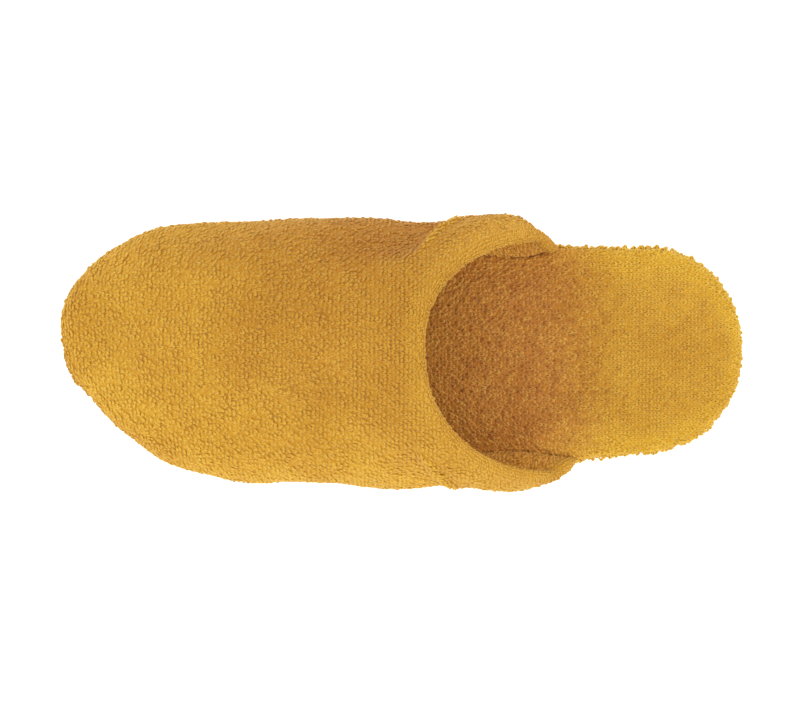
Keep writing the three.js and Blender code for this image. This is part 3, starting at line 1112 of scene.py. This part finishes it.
@dataclass
class Layer:
    """A layer of the sole under terry: its ground cloth, closed above and below, and the pile on it.

    Sizes are in millimetres. Ranges of reach count in from the layer's edge, and the others along the slipper
    from its middle. Past the two places that the fine pile of edge and top is seen to, the loops are coarse.
    """

    form: SlipperForm
    node: str
    slot: str
    rings: tuple[Pair, ...]
    ground: bpy.types.Material
    yarn: bpy.types.Material
    pile: Pile
    warp_pitch: float
    weft_pitch: float
    inside_wall: bool = False
    round_the_edge: bool = False
    fill: float | None = None
    seen_to: Pair = (math.inf, math.inf)
    inside_pile: Pile = Pile(
        height=2.0, width=1.2, yarn=0.54, wander=14, fall=75, bury=0.28, rings=5, seed=37
    )
    inside_pitch: float = 1.75
    steps: int = 5
    ring_steps: int = 3
    rungs_across: int = 14
    top_map: Pair = (0, 200)
    # Soft forms of the cloth
    depth: float = 0.6
    crown: float = 0.7
    crown_reach: Pair = (0, 12)
    dent_reach: Pair = (4, 18)
    heel_place: Pair = (-92, -1)
    heel_size: Pair = (30, 24)
    heel_dent: float = 0.7
    uneven_length: float = 26
    uneven_seed: int = 21
    uneven_depth: float = 0.22
    sink: float = 0.2
    # Where light and shade are painted into the colour, and the loops are calm: painted light on the rims
    # towards the heel, painted shade on the footbed under the vamp
    rim_light_reach: Pair = (0, 9)
    rim_light_to: Pair = (-75, -45)
    shaded_from: Pair = (-90, -62)
    shaded_to: Pair = (-48, 6)
    shaded_tone: float = -0.5
    heel_calm: float = 0.6

    @property
    def ring_size(self) -> int:
        """How many places a ring has."""
        return len(self.form.outline) * self.steps

    def rim(self) -> Cloth:
        """The layer's edge as cloth, from its lowest ring to its highest, closed on the inner side."""
        rows = np.array(self.rings, float)
        at = np.linspace(0, len(rows) - 1, (len(rows) - 1) * self.ring_steps + 1)
        outs, heights = smooth(rows[:, 0], at), smooth(rows[:, 1], at)
        found = [self.form.ring(self.steps, out, z, self.inside_wall) for out, z in zip(outs, heights)]
        closed = np.append(np.arange(self.ring_size), 0)
        places = np.array([ring for ring, _ in found])[:, closed]
        climbed = walked(np.column_stack([outs, heights]))
        if self.round_the_edge:
            along = walked(places.mean(axis=0))
            flat = np.stack(np.broadcast_arrays(along[None], climbed[:, None]), axis=-1)
        else:
            _, way = found[-1]
            flat = places[-1:, :, :2] + way[closed] * (climbed[-1] - climbed)[:, None, None]
        # Painted light: the edge is lighter towards the heel
        return Cloth.woven(places, flat, {TONE: 1 - ramp(places[..., 0], *self.rim_light_to)})

    def rungs(self, ring: Array) -> tuple[Array, Array]:
        """Pairs of places across a ring, from the toe to the heel: inner side first, then outer side."""
        toe = self.form.last_arch // 2 * self.steps
        count = len(ring)
        step = np.arange(count // 2 + 1)
        return ring[(toe - step) % count], ring[(toe + step) % count]

    def top(self, edge: Cloth) -> Cloth:
        """The flat top as cloth, from side to side.

        Args:
            edge: The layer's edge.

        Returns:
            The top, with the plan as its flat cut.
        """
        inner, outer = self.rungs(edge.places[-self.ring_size - 1 : -1])
        share = np.linspace(0, 1, self.rungs_across + 1)[None, :, None]
        places = inner[:, None] * (1 - share) + outer[:, None] * share
        inset = np.minimum(share, 1 - share)[..., 0] * np.linalg.norm(outer - inner, axis=1)[:, None]
        sunk = self.dent(places[..., :2]) * ramp(inset, *self.dent_reach)
        places[..., 2] += self.crown * ramp(inset, *self.crown_reach) - sunk
        x = places[..., 0]
        # Painted light near the top's rim towards the heel, and painted shade under the vamp
        painted_light = (1 - ramp(inset, *self.rim_light_reach)) * (1 - ramp(x, *self.rim_light_to))
        tone = painted_light + self.shaded_tone * ramp(x, *self.shaded_from) * (1 - ramp(x, *self.shaded_to))
        calm = self.heel_calm * (1 - ramp(x, *self.shaded_from))
        return Cloth.woven(places, places[..., :2], {TONE: tone, "calm": calm})

    def dent(self, plan: Array) -> Array:
        """How far wear and the soft filling let the top sink at places in plan."""
        heel = np.exp(-(((plan - self.heel_place) / self.heel_size) ** 2).sum(axis=-1))
        uneven = ripple(plan, self.uneven_length, self.uneven_seed)
        return self.heel_dent * heel + self.uneven_depth * uneven + self.sink

    def build(self) -> None:
        """Makes the ground cloth, which stands for the solid, and its pile."""
        edge = self.rim().moved(-self.depth)
        top = self.top(edge)
        under = squares_of(np.column_stack(self.rungs(np.arange(self.ring_size))))[:, ::-1]
        places = np.concatenate([edge.places, top.places])
        flat = np.concatenate([edge.flat, top.flat + self.top_map])
        faces = [edge.squares, top.squares + len(edge.places), under]
        tones = np.concatenate([edge.marks[TONE], top.marks[TONE]])
        cloth = mesh_object(f"{self.node}_cloth", places, faces, flat, tones)
        place_piece(cloth, self.ground)
        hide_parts(self.node)
        parts = [edge] if self.round_the_edge else [edge, top]
        for part, name, seen_to in zip(parts, ("edge", "top"), self.seen_to):
            seats = seat_loops(part, self.warp_pitch, self.weft_pitch)
            seats = seats.chosen(seats.places[:, 0] < seen_to)
            place_piece(self.pile.dress(f"{self.node}_pile_{name}", seats), self.yarn)
            if self.inside_wall:
                inside = seat_loops(part, self.inside_pitch, self.inside_pitch)
                inside = inside.chosen(inside.places[:, 0] >= seen_to)
                piece = self.inside_pile.dress(f"{self.node}_pile_{name}_toe", inside)
                place_piece(piece, self.yarn)


@dataclass(frozen=True)
class WalkingSole:
    """The plain walking sole, which stays as its solid."""

    node: str = "outsole"
    finish: WalkingSoleFinish = WalkingSoleFinish()

    def build(self) -> None:
        """Gives the solid its finish and reports it."""
        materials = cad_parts[self.node].data.materials
        materials.clear()
        materials.append(self.finish.material())
        LOG.info("%s: kept", self.node)


@dataclass(frozen=True)
class Lamp:
    """A square soft lamp that looks at the slipper: its way from the toe in degrees, and metres away."""

    name: str
    azimuth: float
    elevation: float
    power: float
    distance: float = 1.6
    size: float = 2.0

    def hang(self) -> None:
        """Hangs the lamp."""
        turn, rise = math.radians(self.azimuth), math.radians(self.elevation)
        way = Vector((math.cos(turn) * math.cos(rise), math.sin(turn) * math.cos(rise), math.sin(rise)))
        light = bpy.data.lights.new(self.name, "AREA")
        light.energy = self.power
        light.size = self.size
        holder = bpy.data.objects.new(self.name, light)
        holder.location = way * self.distance
        holder.rotation_euler = (-way).to_track_quat("-Z", "Y").to_euler()
        bpy.context.scene.collection.objects.link(holder)


@dataclass(frozen=True)
class Studio:
    """Floor, soft light and the camera over the slipper, in metres and degrees."""

    camera_height: float = 1.3
    camera_side: float = -0.062
    camera_ahead: float = 0.0013
    camera_roll: float = 0.4
    frame_width: float = 0.304
    sensor: float = 36
    aim_height: float = 0.02
    floor_half: float = 4.0
    floor_colour: Paint = (0.93, 0.93, 0.92, 1.0)
    floor_fleck: float = 1.01
    floor_scale: float = 30
    floor_roughness: float = 0.9
    floor_glow: float = 0.65
    sky_colour: Paint = (1.0, 1.0, 1.0, 1.0)
    sky: float = 0.86
    lamps: tuple[Lamp, ...] = (
        Lamp("toe_side", azimuth=14, elevation=42, power=5),
        Lamp("heel_side", azimuth=168, elevation=45, power=5.4),
        Lamp("outer_side", azimuth=90, elevation=35, power=1.8),
    )

    def build(self) -> None:
        """Makes the stage in order: floor, world, lamps, camera."""
        self.lay_floor()
        self.light_room()
        for lamp in self.lamps:
            lamp.hang()
        self.set_camera()

    def lay_floor(self) -> None:
        """Lays a pale floor under the slipper."""
        half = self.floor_half / MM
        corners = np.array([[-half, -half, 0], [half, -half, 0], [half, half, 0], [-half, half, 0]])
        floor = mesh_object("floor", corners, [np.arange(len(corners))[None]])
        shader = Shader("pale_floor")
        pale = self.floor_colour[:3]
        flecks = shader.colours(shader.noise(self.floor_scale), pale, [self.floor_fleck * c for c in pale])
        floor.data.materials.append(shader.surface({
            "Base Color": flecks,
            "Roughness": self.floor_roughness,
            "Emission Color": self.floor_colour,
            "Emission Strength": self.floor_glow,
        }))

    def light_room(self) -> None:
        """Fills the room with even white light."""
        world = bpy.data.worlds.new("white_room")
        world.use_nodes = True
        background = world.node_tree.nodes["Background"]
        background.inputs["Color"].default_value = self.sky_colour
        background.inputs["Strength"].default_value = self.sky
        bpy.context.scene.world = world
        bpy.context.scene.view_settings.view_transform = "Standard"

    def set_camera(self) -> None:
        """Hangs the camera over the slipper, with the toe to the left of the picture."""
        lens = bpy.data.cameras.new("camera")
        lens.sensor_width = self.sensor
        place = Vector((self.camera_ahead, self.camera_side, self.camera_height))
        away = place - Vector((self.camera_ahead, 0, self.aim_height))
        lens.lens = self.sensor * away.length / self.frame_width
        camera = bpy.data.objects.new("camera", lens)
        camera.location = place
        tilt = math.atan2(-self.camera_side, self.camera_height - self.aim_height)
        camera.rotation_euler = (-tilt, 0, math.pi + math.radians(self.camera_roll))
        bpy.context.scene.collection.objects.link(camera)
        bpy.context.scene.camera = camera


FOOTBED_PILE = Pile(
    height=1.7, width=0.85, yarn=0.5, wander=20, fall=76, bury=0.34,
    skew=0.16, shift=0.12, mottle=0.3, seed=31,
)
EDGE_PILE = Pile(
    height=1.8, width=0.95, yarn=0.5, wander=40, fall=66, uneven=0.35, shift=0.25, row_turn=180, seed=41
)


def main() -> None:
    """Builds the slipper's pieces in order and writes how large they came out."""
    logging.basicConfig(level=logging.INFO, format="%(name)s %(message)s")
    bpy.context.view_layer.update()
    form = SlipperForm()
    ground, footbed_ground = GROUND_FINISH.material(), FOOTBED_GROUND_FINISH.material()
    yarn, footbed = PILE_FINISH.material(), FOOTBED_FINISH.material()
    Studio().build()
    WalkingSole().build()
    Upper(form, ground, yarn, LINING_FINISH.material()).build()
    Layer(
        form, "insole", "terry_insole", form.insole_rings, footbed_ground, footbed, FOOTBED_PILE,
        warp_pitch=1.4, weft_pitch=1.55, inside_wall=True, fill=0.6, seen_to=(-20, 45),
    ).build()
    Layer(
        form, "sole", "terry_edge", form.sole_rings, ground, yarn, EDGE_PILE,
        warp_pitch=1.5, weft_pitch=1.5, round_the_edge=True,
    ).build()


if __name__ == "__main__":
    main()
